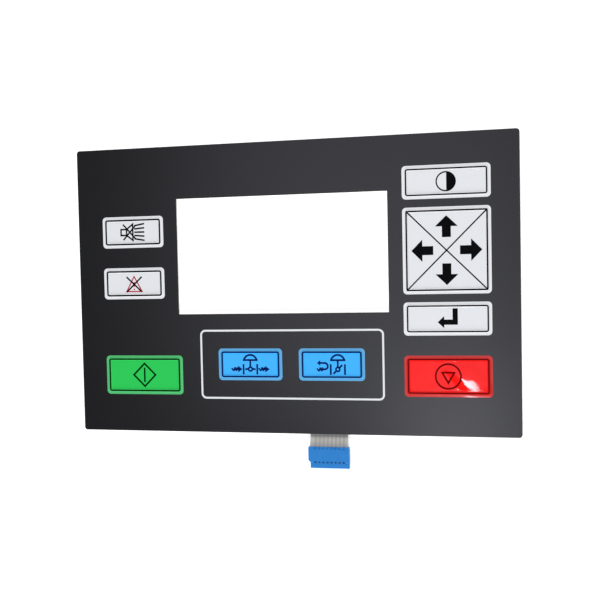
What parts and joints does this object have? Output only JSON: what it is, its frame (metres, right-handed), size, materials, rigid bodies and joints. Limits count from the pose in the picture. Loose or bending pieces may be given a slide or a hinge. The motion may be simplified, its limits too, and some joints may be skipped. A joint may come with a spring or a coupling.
{
  "type": "membrane keypad",
  "caption": "Flat membrane keypad with an embossed printed film face, rail-edged coloured keys, an open display window and a film tail ending in a row socket.",
  "frame": {"origin": "centre of the display window, on the back face that is stuck to the front panel", "axes": "+X to the right of the printed face, +Y towards its top edge, +Z out of the face"},
  "size_m": [0.2802, 0.204, 0.0046],
  "materials": {
    "liner_paper": "silicone-coated release paper, smooth and slightly waxy",
    "adhesive": "clear acrylic transfer adhesive",
    "circuit_film": "grey polyester film with a satin surface",
    "silver_ink": "screen-printed silver, matte",
    "spacer_film": "milky polyester film with adhesive on both faces",
    "dome_steel": "bright rolled stainless spring steel",
    "overlay_black": "black polyester film with a fine velvet texture",
    "ink_white": "white screen ink under a gloss hard coat",
    "ink_green": "green screen ink under a gloss hard coat",
    "ink_blue": "blue screen ink under a gloss hard coat",
    "ink_red": "red screen ink under a gloss hard coat",
    "ink_black": "black screen ink",
    "ink_dark_green": "dark green screen ink",
    "ink_navy": "navy screen ink",
    "ink_dark_red": "dark red screen ink",
    "ink_alarm_red": "pale red screen ink",
    "connector_blue": "moulded blue nylon, satin",
    "contact_metal": "tinned and gold-flashed spring brass"
  },
  "bodies": {
    "root": {"release_liner": "liner_paper", "rear_adhesive": "adhesive", "circuit_film": "circuit_film", "silver_circuit": "silver_ink", "dome_spacer": "spacer_film", "overlay_adhesive": "adhesive", "graphic_overlay": "overlay_black", "print_white": "ink_white", "print_green": "ink_green", "print_blue": "ink_blue", "print_red": "ink_red", "print_black": "ink_black", "print_dark_green": "ink_dark_green", "print_navy": "ink_navy", "print_dark_red": "ink_dark_red", "print_alarm_red": "ink_alarm_red", "connector_housing": "connector_blue", "connector_contacts": "contact_metal", "dome_horn": "dome_steel", "dome_alarm": "dome_steel", "dome_start": "dome_steel", "dome_load": "dome_steel", "dome_unload": "dome_steel", "dome_contrast": "dome_steel", "dome_up": "dome_steel", "dome_left": "dome_steel", "dome_right": "dome_steel", "dome_down": "dome_steel", "dome_enter": "dome_steel", "dome_stop": "dome_steel"}
  },
  "joints": []
}
